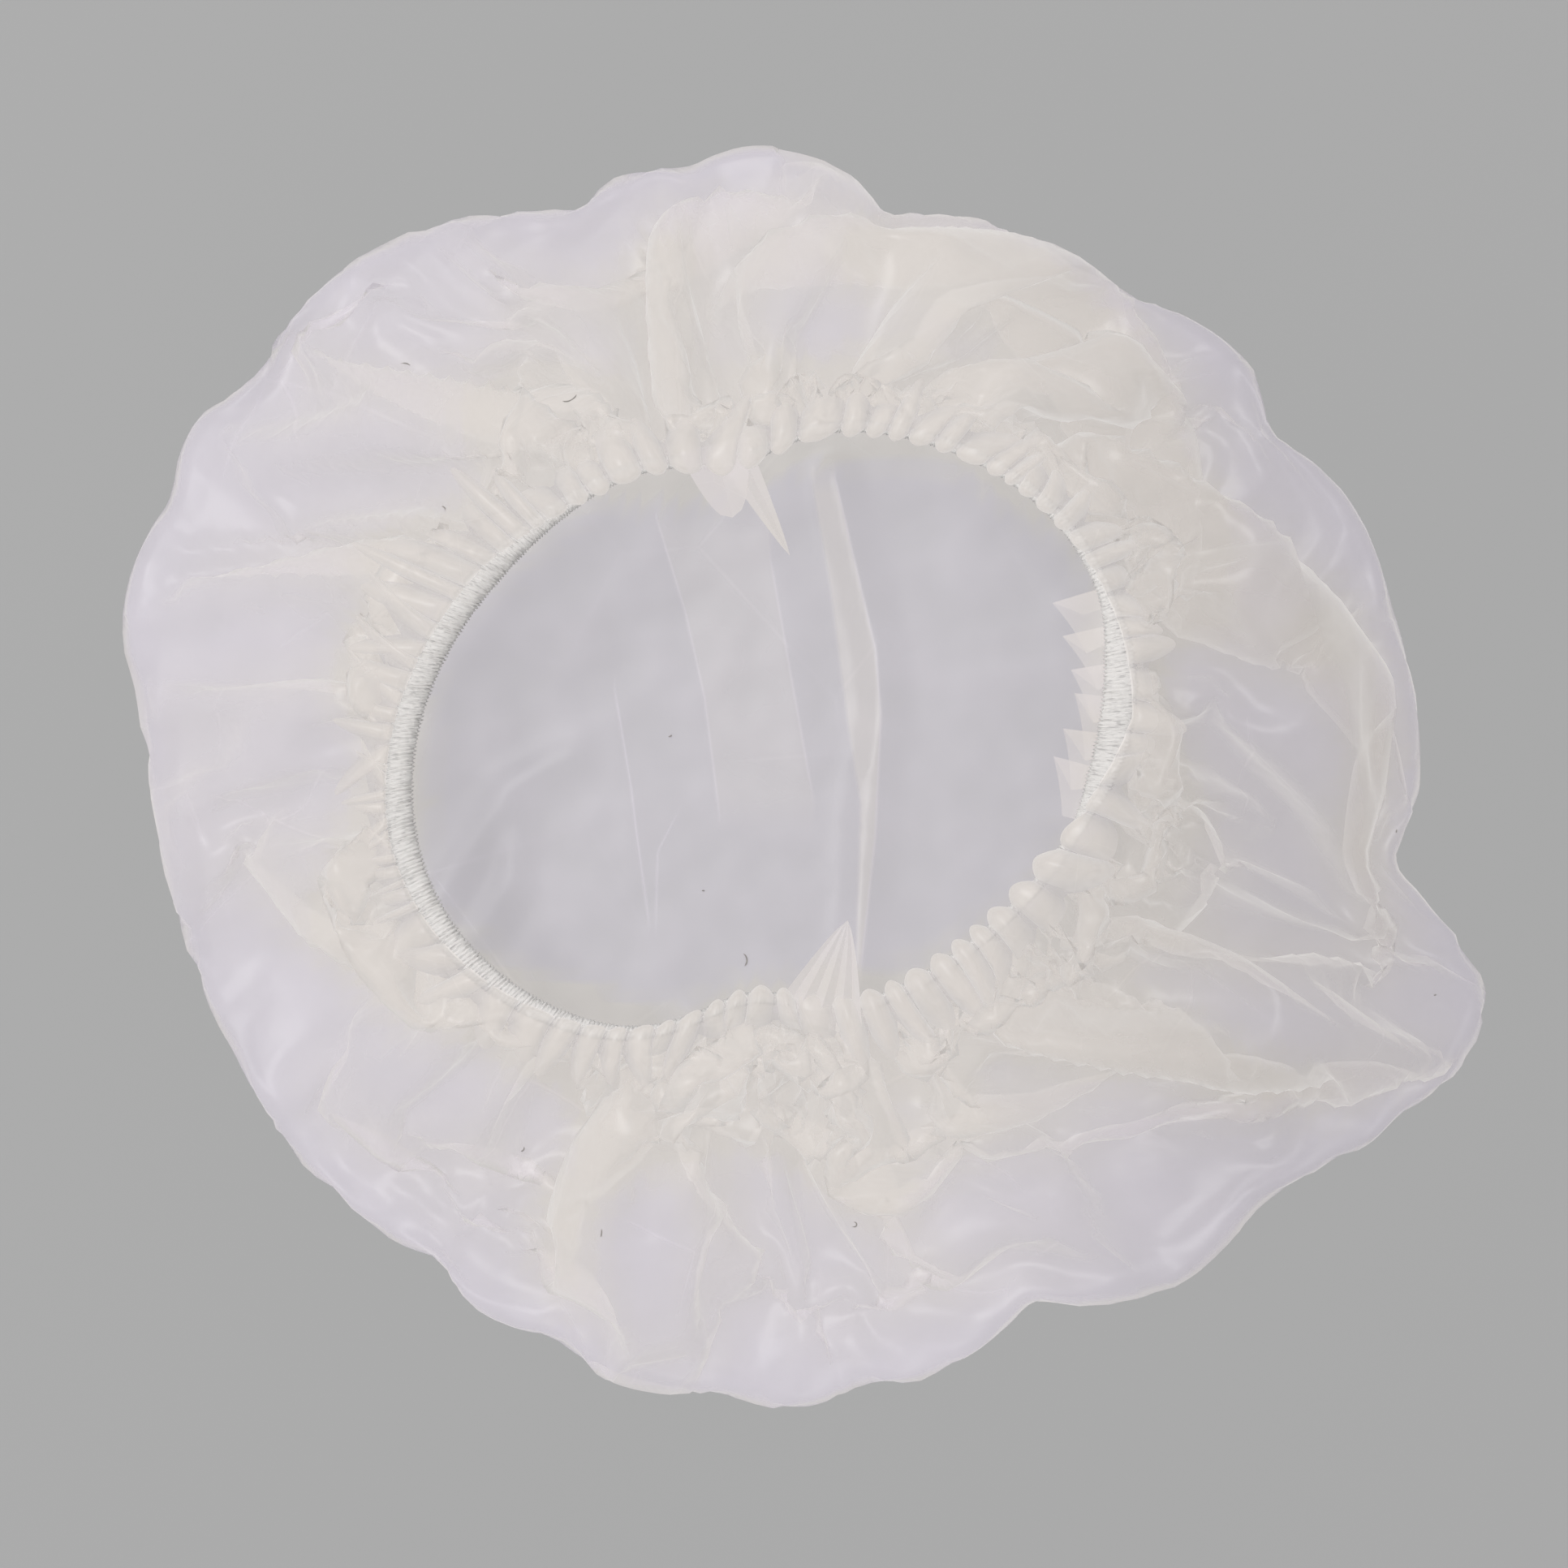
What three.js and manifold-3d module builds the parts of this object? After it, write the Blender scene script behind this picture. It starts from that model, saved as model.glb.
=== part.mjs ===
// A disposable shower cap of thin frosted film, lying crown down on a table with its mouth upwards.
// Millimetres, +Z up. Seen from above, +X is to the right and +Y is away from the viewer.
import * as THREE from 'three';
import { ParametricGeometry } from 'three/addons/geometries/ParametricGeometry.js';
import { mergeVertices } from 'three/addons/utils/BufferGeometryUtils.js';
import Module from 'manifold-3d';

const wasm = await Module();
wasm.setup();

// Film wall, and the clearance between pieces that lie on each other
const WALL = 1.3;
const MAX_WALL = 2.6;
const GAP = 0.3;

// The mouth: an oval drawn in by the elastic, dented where the film's side seals end
const MOUTH = { x: -10.6, y: 9.7, longHalf: 78, shortHalf: 61.5, tiltDeg: 25 };
const MOUTH_DENTS = [
  { deg: 95, depth: 6, spreadDeg: 13 },
  { deg: 268, depth: 9, spreadDeg: 15 },
];
const RIM = { height: 47, tilt: 3, highSideDeg: 115, wave: 1.6, waves: 3 };

// The film's outline from above: billows between notches, with each billow's shoulder height
const BILLOWS = [
  { notchDeg: 16.5, notch: 129.1, crestDeg: 25.1, crest: 130.6, shoulder: 48 },
  { notchDeg: 36.9, notch: 122.6, crestDeg: 45.8, crest: 129.5, shoulder: 58 },
  { notchDeg: 55.5, notch: 124.2, crestDeg: 72.4, crest: 124.9, shoulder: 66 },
  { notchDeg: 81.4, notch: 121.0, crestDeg: 96.5, crest: 136.0, shoulder: 58 },
  { notchDeg: 100.5, notch: 132.3, crestDeg: 105.0, crest: 135.5, shoulder: 52 },
  { notchDeg: 112.7, notch: 131.2, crestDeg: 135.0, crest: 148.0, shoulder: 40 },
  { notchDeg: 145.2, notch: 145.8, crestDeg: 150.2, crest: 152.0, shoulder: 34 },
  { notchDeg: 155.9, notch: 147.7, crestDeg: 163.5, crest: 151.2, shoulder: 36 },
  { notchDeg: 176.0, notch: 141.5, crestDeg: 214.0, crest: 135.5, shoulder: 58 },
  { notchDeg: 233.3, notch: 128.9, crestDeg: 238.0, crest: 133.8, shoulder: 52 },
  { notchDeg: 245.4, notch: 129.8, crestDeg: 253.5, crest: 135.0, shoulder: 47 },
  { notchDeg: 262.6, notch: 130.6, crestDeg: 267.4, crest: 134.7, shoulder: 40 },
  { notchDeg: 273.6, notch: 128.8, crestDeg: 279.0, crest: 130.2, shoulder: 35 },
  { notchDeg: 293.0, notch: 119.5, crestDeg: 308.0, crest: 133.4, shoulder: 35 },
  { notchDeg: 319.1, notch: 131.9, crestDeg: 341.5, crest: 152.5, shoulder: 46 },
  { notchDeg: 350.8, notch: 124.8, crestDeg: 363.0, crest: 130.7, shoulder: 48 },
];

// A section of the film from the middle of the crown, out to the outline and in to the mouth
// reach: share of the outline, inward: share of the way from there to the mouth,
// height: share of the shoulder's height
const FILM_SECTION = [
  { reach: 0, inward: 0, height: 0 },
  { reach: 0.5, inward: 0, height: 0 },
  { reach: 0.92, inward: 0, height: 0 },
  { reach: 0.98, inward: 0, height: 0.03 },
  { reach: 1, inward: 0, height: 0.1 },
  { reach: 1, inward: 0.05, height: 0.2 },
  { reach: 1, inward: 0.15, height: 0.33 },
  { reach: 1, inward: 0.28, height: 0.46 },
  { reach: 1, inward: 0.43, height: 0.6 },
  { reach: 1, inward: 0.59, height: 0.74 },
  { reach: 1, inward: 0.75, height: 0.87 },
  { reach: 1, inward: 0.9, height: 0.97 },
  { reach: 1, inward: 1, height: 1 },
];
// From this share of the way on, the film turns to meet the rim
const RIM_BLEND_FROM = 0.4;

// The main folds over the top: each ridge runs from an angle at the outline to an angle at the mouth,
// and fades in and out over these shares of the way
const FOLD_FADE = { in: 0.2, out: 0.1 };
const FOLDS = [
  { outlineDeg: 15, mouthDeg: 3, from: 0.05, to: 0.9, lift: 7, widthDeg: 6 },
  { outlineDeg: 34, mouthDeg: 30, from: 0.1, to: 0.95, lift: 4, widthDeg: 5 },
  { outlineDeg: 55, mouthDeg: 50, from: 0.1, to: 0.95, lift: 6, widthDeg: 6 },
  { outlineDeg: 81, mouthDeg: 66, from: 0.1, to: 0.95, lift: 6, widthDeg: 6 },
  { outlineDeg: 104, mouthDeg: 95, from: 0.05, to: 0.95, lift: 8, widthDeg: 7 },
  { outlineDeg: 121, mouthDeg: 122, from: 0.15, to: 0.95, lift: 6, widthDeg: 5 },
  { outlineDeg: 134, mouthDeg: 147, from: 0.2, to: 0.95, lift: 5, widthDeg: 5 },
  { outlineDeg: 150, mouthDeg: 168, from: 0.05, to: 0.9, lift: 7, widthDeg: 5 },
  { outlineDeg: 166, mouthDeg: 186, from: 0.2, to: 0.95, lift: 5, widthDeg: 5 },
  { outlineDeg: 206, mouthDeg: 212, from: 0.1, to: 0.9, lift: 4, widthDeg: 6 },
  { outlineDeg: 220, mouthDeg: 224, from: 0.1, to: 0.9, lift: 5, widthDeg: 5 },
  { outlineDeg: 246, mouthDeg: 238, from: 0.05, to: 0.95, lift: 6, widthDeg: 5 },
  { outlineDeg: 262, mouthDeg: 260, from: 0.1, to: 0.95, lift: 6, widthDeg: 6 },
  { outlineDeg: 277, mouthDeg: 280, from: 0.05, to: 0.95, lift: 6, widthDeg: 9 },
  { outlineDeg: 319, mouthDeg: 304, from: 0.05, to: 0.9, lift: 6, widthDeg: 5 },
  { outlineDeg: 343, mouthDeg: 325, from: 0, to: 0.9, lift: 6, widthDeg: 6 },
  { outlineDeg: 351, mouthDeg: 346, from: 0.2, to: 0.95, lift: 8, widthDeg: 5 },
];

// Pleats of the film next to the hem, and the finer ruffles of the hem itself
const PLEATS = { count: 32, depth: 2.4, from: 0.3 };
const PLEAT_WANDER = [
  { turn: 1.1, waves: 5, startDeg: 0 },
  { turn: 0.8, waves: 9, startDeg: 60 },
];
const RUFFLES = { count: 46, sway: 1.2, sways: 7, flatDeg: 7 };

// A section of the hem: from the joint with the crown film, under the elastic, to the frill past it
// outward: distance from the mouth line, rise: above the rim, ruffle: depth of the ruffles,
// carry: share of the crown film's folds that reaches here
const HEM_SECTION = [
  { outward: 7, rise: -2.2, ruffle: 0.4, carry: 1 },
  { outward: 4.8, rise: -1.2, ruffle: 1.3, carry: 0.5 },
  { outward: 2.8, rise: -0.8, ruffle: 0.5, carry: 0 },
  { outward: -2.8, rise: -0.8, ruffle: 0.5, carry: 0 },
];
const FRILL_SECTION = [
  { along: 3, ruffle: 1 },
  { along: 6, ruffle: 1.7 },
];
// The frill lies inwards on the right-hand side and hangs into the mouth everywhere else
const FRILL = { hangDeg: 60, levelSideDeg: 356, levelSpreadDeg: 42, scallop: 0.8 };

const ELASTIC = { width: 5, edge: 0.9, middle: 1.5 };

// Pointed ends of the side seals: where each leaves the hem, and where its tip lies
const SEAL_ENDS = [
  { rootDeg: 96, tipX: -3.5, tipY: 46.6, width: 8, droop: 5 },
  { rootDeg: 280, tipX: 8.6, tipY: -29.5, width: 10, droop: -3 },
];

// Their edges bow inwards: where along the length, and how much of the half width is left there
const SEAL_EDGES = { nearAlong: 0.5, nearWidth: 0.5, farAlong: 0.45, farWidth: 0.7, steps: 4 };

// Facets round the mouth
const FILM_COLUMNS = 128;
const HEM_COLUMNS = 184;
const ELASTIC_COLUMNS = 96;
// Points closer than this are one point
const SAME_POINT = 1e-4;

const rad = THREE.MathUtils.degToRad;
const { lerp, smoothstep, clamp, euclideanModulo } = THREE.MathUtils;

// Angle from one direction to another, between -180 and 180 degrees
function turnBetween(fromDeg, toDeg) {
  return euclideanModulo(toDeg - fromDeg + 180, 360) - 180;
}

// A round bump of height 1 in the middle that fades out at its spread
function bump(distance, spread) {
  return Math.exp(-((distance / spread) ** 2));
}

// A creased bump: a sharper top than the round one
function crease(distance, spread) {
  return Math.exp(-Math.abs(distance) / spread);
}

// Which billow an angle falls in, and how far along its rise or fall
function billowAt(deg) {
  for (let i = 0; i < BILLOWS.length; i += 1) {
    const billow = BILLOWS[i];
    const next = BILLOWS[(i + 1) % BILLOWS.length];
    const along = euclideanModulo(deg - billow.notchDeg, 360);
    const span = euclideanModulo(next.notchDeg - billow.notchDeg, 360);
    const crestAlong = billow.crestDeg - billow.notchDeg;
    if (along <= span) return { billow, next, along, span, crestAlong };
  }
  throw new Error(`no billow at ${deg} degrees`);
}

// Distance from the middle to the film's outline: each billow rises from its notch and falls to the next
function outlineReach(deg) {
  const { billow, next, along, span, crestAlong } = billowAt(deg);
  if (along < crestAlong) {
    return lerp(billow.notch, billow.crest, Math.sin((along / crestAlong) * Math.PI / 2));
  }
  const fall = (along - crestAlong) / (span - crestAlong);
  return lerp(next.notch, billow.crest, Math.cos(fall * Math.PI / 2));
}

// Height of the film's shoulder, blended from one billow's crest to the next
function shoulderHeight(deg) {
  const { billow, next, along, span, crestAlong } = billowAt(deg);
  const share = clamp((along - crestAlong) / (span - crestAlong), 0, 1);
  return lerp(billow.shoulder, next.shoulder, smoothstep(share, 0, 1));
}

function rimHeight(deg) {
  const lean = RIM.tilt * Math.cos(rad(deg - RIM.highSideDeg));
  return RIM.height + lean + RIM.wave * Math.cos(rad(RIM.waves * deg));
}

// A point on the mouth line, or a given distance outside it
function mouthPoint(deg, outward) {
  const turn = rad(deg - MOUTH.tiltDeg);
  const across = Math.hypot(MOUTH.shortHalf * Math.cos(turn), MOUTH.longHalf * Math.sin(turn));
  let reach = (MOUTH.longHalf * MOUTH.shortHalf) / across + outward;
  for (const dent of MOUTH_DENTS) reach -= dent.depth * bump(turnBetween(dent.deg, deg), dent.spreadDeg);
  const direction = new THREE.Vector3(Math.cos(rad(deg)), Math.sin(rad(deg)), 0);
  return direction.multiplyScalar(reach).add(new THREE.Vector3(MOUTH.x, MOUTH.y, 0));
}

// Lift of the folds and pleats over the smooth film
function foldLift(deg, inward) {
  let lift = 0;
  for (const fold of FOLDS) {
    const ridgeDeg = fold.outlineDeg + turnBetween(fold.outlineDeg, fold.mouthDeg) * inward;
    const rise = smoothstep(inward, fold.from, fold.from + FOLD_FADE.in);
    const fall = smoothstep(inward, fold.to - FOLD_FADE.out, fold.to + FOLD_FADE.out);
    lift += fold.lift * rise * (1 - fall) * crease(turnBetween(ridgeDeg, deg), fold.widthDeg);
  }
  let wander = 0;
  for (const { turn, waves, startDeg } of PLEAT_WANDER) {
    wander += turn * Math.sin(rad(waves * deg + startDeg));
  }
  const depth = PLEATS.depth * smoothstep(inward, PLEATS.from, 1);
  return lift + depth * Math.cos(rad(PLEATS.count * deg) + wander);
}

// A point of the film before its folds are added
function smoothFilm(deg, row) {
  const { reach, inward, height } = FILM_SECTION[row];
  const outline = new THREE.Vector3(Math.cos(rad(deg)), Math.sin(rad(deg)), 0);
  outline.multiplyScalar(outlineReach(deg) * reach);
  const point = outline.lerp(mouthPoint(deg, HEM_SECTION[0].outward + GAP), inward);
  const joint = rimHeight(deg) + HEM_SECTION[0].rise;
  point.z = lerp(height * shoulderHeight(deg), joint, smoothstep(inward, RIM_BLEND_FROM, 1));
  return point;
}

// The direction in which the film's folds rise at a row of the section
function filmOutward(deg, row) {
  if (row === 0) return new THREE.Vector3(0, 0, -1);
  if (row === FILM_SECTION.length - 1) return new THREE.Vector3(0, 0, 1);
  const along = smoothFilm(deg, row + 1).sub(smoothFilm(deg, row - 1));
  const round = new THREE.Vector3(-Math.sin(rad(deg)), Math.cos(rad(deg)), 0);
  return round.cross(along).normalize();
}

function foldedFilm(deg, row) {
  const lift = foldLift(deg, FILM_SECTION[row].inward);
  return smoothFilm(deg, row).addScaledVector(filmOutward(deg, row), lift);
}

// Wall measured along the fold direction, so that steep sides of folds keep their thickness
function filmWall(deg, row) {
  if (row === 0) return WALL;
  const step = 180 / FILM_COLUMNS;
  const round = foldedFilm(deg + step, row).sub(foldedFilm(deg - step, row));
  const nextRow = Math.min(row + 1, FILM_SECTION.length - 1);
  const along = foldedFilm(deg, nextRow).sub(foldedFilm(deg, row - 1));
  const facing = round.cross(along).normalize().dot(filmOutward(deg, row));
  return Math.min(WALL / Math.max(facing, WALL / MAX_WALL), MAX_WALL);
}

// A closed surface from a function of (degrees, row), with its rows joined top to bottom where it is a ring
function surface(pointAt, columns, rows) {
  const shape = (u, v, target) => {
    const column = Math.round(u * columns) % columns;
    target.copy(pointAt((360 * column) / columns, Math.round(v * rows)));
  };
  const geometry = new ParametricGeometry(shape, columns, rows);
  geometry.deleteAttribute('normal');
  geometry.deleteAttribute('uv');
  return mergeVertices(geometry, SAME_POINT);
}

// The bag of film: its outside from the crown to the mouth, then its inside back again
function crownFilm() {
  const last = FILM_SECTION.length - 1;
  const pointAt = (deg, k) => {
    const row = k <= last ? k : 2 * last + 1 - k;
    const point = foldedFilm(deg, row);
    if (k > last) point.addScaledVector(filmOutward(deg, row), -filmWall(deg, row));
    return point;
  };
  return surface(pointAt, FILM_COLUMNS, 2 * last + 1);
}

// Rise and fall of the ruffles, from -1 to 1, lying flat where a seal end leaves the hem
function ruffleWave(deg) {
  let wave = Math.cos(rad(RUFFLES.count * deg) + RUFFLES.sway * Math.sin(rad(RUFFLES.sways * deg)));
  for (const end of SEAL_ENDS) wave *= 1 - bump(turnBetween(end.rootDeg, deg), RUFFLES.flatDeg);
  return wave;
}

// How steeply the frill hangs, in radians below level
function frillHang(deg) {
  return rad(FRILL.hangDeg) * (1 - bump(turnBetween(FRILL.levelSideDeg, deg), FRILL.levelSpreadDeg));
}

// The upper face of the hem at one row of its section, and the direction in which its ruffles rise
function hemRow(deg, row) {
  const hang = frillHang(deg);
  const rim = rimHeight(deg);
  const wave = ruffleWave(deg);
  const frillRow = row - HEM_SECTION.length;
  const start = HEM_SECTION[HEM_SECTION.length - 1];
  if (frillRow < 0) {
    const { outward, rise, ruffle, carry } = HEM_SECTION[row];
    const lift = rise + ruffle * wave + carry * foldLift(deg, 1);
    const tilt = HEM_SECTION[row] === start ? hang / 2 : 0;
    return { outward, z: rim + lift, tilt, push: 0 };
  }
  const { along, ruffle } = FRILL_SECTION[frillRow];
  const reach = along * (1 + (FRILL.scallop * wave) / along);
  return {
    outward: start.outward - reach * Math.cos(hang),
    z: rim + start.rise - reach * Math.sin(hang),
    tilt: hang,
    push: ruffle * wave,
  };
}

function hemFace(deg, row, depth) {
  const { outward, z, tilt, push } = hemRow(deg, row);
  const shift = push - depth;
  const point = mouthPoint(deg, outward - Math.sin(tilt) * shift);
  point.z = z + Math.cos(tilt) * shift;
  return point;
}

// The hem ring: its upper face from the joint to the frill's edge, then its lower face back again
function hemRing() {
  const rows = HEM_SECTION.length + FRILL_SECTION.length;
  const pointAt = (deg, k) => {
    const step = k % (2 * rows);
    return step < rows ? hemFace(deg, step, 0) : hemFace(deg, 2 * rows - 1 - step, WALL);
  };
  return surface(pointAt, HEM_COLUMNS, 2 * rows);
}

// The elastic: a flat ring on the hem, slightly crowned
function elasticBand() {
  const half = ELASTIC.width / 2;
  const section = [
    { outward: half, z: 0 },
    { outward: half, z: ELASTIC.edge },
    { outward: 0, z: ELASTIC.middle },
    { outward: -half, z: ELASTIC.edge },
    { outward: -half, z: 0 },
  ];
  const pointAt = (deg, k) => {
    const { outward, z } = section[k % section.length];
    const point = mouthPoint(deg, outward);
    point.z = rimHeight(deg) + z;
    return point;
  };
  return surface(pointAt, ELASTIC_COLUMNS, section.length);
}

// A pointed, drooping end of a side seal, rooted in the hem under the elastic
function sealEnd({ rootDeg, tipX, tipY, width, droop }) {
  const root = mouthPoint(rootDeg, 0);
  const toTip = new THREE.Vector2(tipX - root.x, tipY - root.y);
  const length = toTip.length();
  const half = width / 2;
  const shape = new THREE.Shape();
  shape.moveTo(0, -half);
  const { nearAlong, nearWidth, farAlong, farWidth, steps } = SEAL_EDGES;
  shape.quadraticCurveTo(length * nearAlong, -half * nearWidth, length, 0);
  shape.quadraticCurveTo(length * farAlong, half * farWidth, 0, half);
  shape.closePath();
  const blade = new THREE.ExtrudeGeometry(shape, { depth: WALL, bevelEnabled: false, curveSegments: steps });
  blade.translate(0, 0, -WALL / 2);
  blade.rotateY(Math.atan2(droop, length));
  blade.rotateZ(toTip.angle());
  const underElastic = rimHeight(rootDeg) + HEM_SECTION[HEM_SECTION.length - 1].rise - WALL;
  blade.translate(root.x, root.y, underElastic);
  blade.deleteAttribute('normal');
  blade.deleteAttribute('uv');
  return mergeVertices(blade, SAME_POINT);
}

function toSolid(geometry) {
  const vertProperties = new Float32Array(geometry.attributes.position.array);
  const triVerts = new Uint32Array(geometry.index.array);
  return new wasm.Manifold(new wasm.Mesh({ numProp: 3, vertProperties, triVerts }));
}

function toGeometry(solid) {
  const { vertProperties, triVerts } = solid.getMesh();
  const geometry = new THREE.BufferGeometry();
  geometry.setAttribute('position', new THREE.BufferAttribute(vertProperties, 3));
  geometry.setIndex(new THREE.BufferAttribute(triVerts, 1));
  return geometry;
}

function gatheredHem() {
  let hem = toSolid(hemRing());
  for (const end of SEAL_ENDS) hem = hem.add(toSolid(sealEnd(end)));
  return toGeometry(hem);
}

function piece(name, geometry, color, roughness) {
  geometry.computeVertexNormals();
  const mesh = new THREE.Mesh(geometry, new THREE.MeshStandardMaterial({ color, roughness, metalness: 0 }));
  mesh.name = name;
  return mesh;
}

const cap = new THREE.Group();
cap.add(piece('crown_film', crownFilm(), 0xd2ced6, 0.45));
cap.add(piece('gathered_hem', gatheredHem(), 0xdad5d2, 0.5));
cap.add(piece('elastic_band', elasticBand(), 0xd6d2cf, 0.9));

// The origin lies under the middle of the cap, on the table
const box = new THREE.Box3().setFromObject(cap);
const middle = box.getCenter(new THREE.Vector3());
cap.position.set(-middle.x, -middle.y, -box.min.z);

export default cap;
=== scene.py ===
# %% [markdown]
# A disposable shower cap lies on its crown with the gathered mouth up. It is one round of thin film,
# about half a metre across, whose edge is folded over a ring of elastic and drawn in.
# Three pieces carry most of the look: the film, which a cloth simulation gathers from its flat cut, the
# ruffled hem round the mouth, and the elastic rope inside it. A frill, the ends of two seals and a few fibres
# of lint are added to them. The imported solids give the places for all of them.

# %% Tools and the frame
import math

import bpy
import numpy as np
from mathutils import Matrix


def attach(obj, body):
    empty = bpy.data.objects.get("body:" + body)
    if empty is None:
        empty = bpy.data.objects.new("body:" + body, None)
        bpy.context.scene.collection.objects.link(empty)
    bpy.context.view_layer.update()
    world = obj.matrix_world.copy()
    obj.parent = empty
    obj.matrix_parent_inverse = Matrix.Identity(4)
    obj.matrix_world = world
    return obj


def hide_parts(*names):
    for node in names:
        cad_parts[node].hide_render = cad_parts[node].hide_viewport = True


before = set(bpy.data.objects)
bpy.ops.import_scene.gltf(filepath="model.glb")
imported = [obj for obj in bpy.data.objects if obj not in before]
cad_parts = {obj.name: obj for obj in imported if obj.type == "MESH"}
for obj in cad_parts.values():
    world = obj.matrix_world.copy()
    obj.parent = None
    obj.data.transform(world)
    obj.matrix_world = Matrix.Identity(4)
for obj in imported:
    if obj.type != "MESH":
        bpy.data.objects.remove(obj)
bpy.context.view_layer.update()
chance = np.random.default_rng(20)

# %% [markdown]
# Two lines of the solids steer the looks: the elastic's centre line round the mouth, and the cap's outline.
# They are measured from the solids, so a change to the solids moves the film with it. Both are kept as a
# distance for each direction, which NumPy's interp reads back as a smooth closed curve.

# %% The mouth line and the outline, measured from the solids
def vertex_places(piece):
    """A piece's vertex positions as rows of x, y and z."""
    flat_list = np.empty(len(piece.data.vertices) * 3, np.float32)
    piece.data.vertices.foreach_get("co", flat_list)
    return flat_list.reshape(-1, 3).astype(float)


def turn(degrees):
    """An angle brought between -180 and 180 degrees."""
    return (degrees + 180) % 360 - 180


DIRECTION_STEP = 1.5
BAND_SMOOTHING = 2.5
DIRECTIONS = np.arange(0, 360, DIRECTION_STEP)
band = vertex_places(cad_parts["elastic_band"])
MOUTH_CENTRE = (band.max(0) + band.min(0))[:2] / 2
band_angle = np.degrees(np.arctan2(*(band[:, 1::-1] - MOUTH_CENTRE[::-1]).T))
band_reach = np.hypot(*(band[:, :2] - MOUTH_CENTRE).T)
nearness = np.exp(-(turn(band_angle - DIRECTIONS[:, None]) / BAND_SMOOTHING) ** 2)
mouth_reaches = nearness @ band_reach / nearness.sum(1)
mouth_heights = nearness @ band[:, 2] / nearness.sum(1)
crown = vertex_places(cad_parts["crown_film"])
crown_angle = np.degrees(np.arctan2(crown[:, 1], crown[:, 0]))
crown_reach = np.hypot(crown[:, 0], crown[:, 1])


def farthest(angles, reaches):
    """The farthest reach in each direction."""
    return np.array([reaches[np.abs(turn(angles - d)) < DIRECTION_STEP].max() for d in DIRECTIONS])


outline_reaches = farthest(crown_angle, crown_reach)


def mouth_point(degrees, outward=0.0):
    """Points on the elastic's line, or a distance outside it, by direction from the mouth's centre."""
    reach = np.interp(degrees, DIRECTIONS, mouth_reaches, period=360) + outward
    height = np.interp(degrees, DIRECTIONS, mouth_heights, period=360)
    angle = np.radians(degrees)
    x = MOUTH_CENTRE[0] + reach * np.cos(angle)
    y = MOUTH_CENTRE[1] + reach * np.sin(angle)
    return np.stack([x, y, height], -1)


print("mouth centre", MOUTH_CENTRE.round(4))
print("mouth reach", mouth_reaches.min().round(4), "to", mouth_reaches.max().round(4))
print("mouth height", mouth_heights.min().round(4), "to", mouth_heights.max().round(4))

# %% [markdown]
# The elastic gathers the hem unevenly: tight small gathers at the left, open loops at the upper left and
# fat rolls at the lower right. One short table holds this, a row for each stretch of the mouth, and the
# film, the hem and the rope all read it, so their pleats meet.

# %% The gathers round the mouth, stretch by stretch
GATHERS = [
    dict(start=-14, pleats=7, height=0.0035, reach=0.009, nose=-0.0030, rope=0.0017),
    dict(start=18, pleats=9, height=0.0045, reach=0.009, nose=0.0020, rope=0.0014),
    dict(start=50, pleats=6, height=0.0040, reach=0.009, nose=0.0026, rope=0.0013),
    dict(start=75, pleats=6, height=0.0045, reach=0.010, nose=0.0030, rope=0.0013),
    dict(start=115, pleats=4, height=0.0038, reach=0.008, nose=0.0026, rope=0.0016),
    dict(start=135, pleats=8, height=0.0048, reach=0.021, nose=-0.0016, rope=0.0029),
    dict(start=165, pleats=7, height=0.0030, reach=0.012, nose=-0.0022, rope=0.0030),
    dict(start=185, pleats=12, height=0.0018, reach=0.006, nose=-0.0026, rope=0.0031),
    dict(start=208, pleats=5, height=0.0042, reach=0.012, nose=-0.0006, rope=0.0025),
    dict(start=235, pleats=7, height=0.0036, reach=0.010, nose=0.0020, rope=0.0016),
    dict(start=262, pleats=5, height=0.0045, reach=0.010, nose=0.0030, rope=0.0013),
    dict(start=290, pleats=7, height=0.0052, reach=0.014, nose=0.0036, rope=0.0013),
    dict(start=325, pleats=3, height=0.0058, reach=0.014, nose=0.0044, rope=0.0013),
]
starts = np.array([row["start"] for row in GATHERS] + [GATHERS[0]["start"] + 360.0])
middles = (starts[1:] + starts[:-1]) / 2
pleat_ends = np.cumsum([0] + [row["pleats"] for row in GATHERS])
PLEATS = int(pleat_ends[-1])
PLEAT_UNEVENNESS = 0.22
pleat_jitter = chance.uniform(-PLEAT_UNEVENNESS, PLEAT_UNEVENNESS, PLEATS + 1)
pleat_jitter[[0, -1]] = 0


def pleat_count(degrees):
    """How many pleats lie between the first stretch's start and a direction, with some pleats wider."""
    count = np.interp((degrees - starts[0]) % 360 + starts[0], starts, pleat_ends)
    return count + np.interp(count, np.arange(PLEATS + 1), pleat_jitter)


def stretch_value(degrees, column):
    """A column of the table, blended from the middle of one stretch to the next."""
    return np.interp(degrees, middles, [row[column] for row in GATHERS], period=360)


print("pleats round the mouth:", PLEATS)

# %% [markdown]
# The film starts as the flat round that a factory cuts. A grid is pressed into a disc by moving each of its
# square rings onto a circle, which keeps even quads all over, while a circle primitive would crowd its
# middle. The flat place of every vertex is kept as an attribute, which stays with the film when it is
# subdivided, so the folds and creases of the finish can follow the cut.

# %% The flat cut
CUT_RADIUS = 0.270
CUT_SHIFT = np.array([0.020, -0.005])
FLAT_SIZE = 0.6
GRID_CELLS = 108


def deselect():
    """Nothing stays selected, so the next operator touches only its own piece."""
    for piece in bpy.context.selected_objects:
        piece.select_set(False)


def place_vertices(piece, places):
    """Moves a piece's vertices to rows of x, y and z."""
    piece.data.vertices.foreach_set("co", places.astype(np.float32).ravel())
    piece.data.update()


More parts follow.
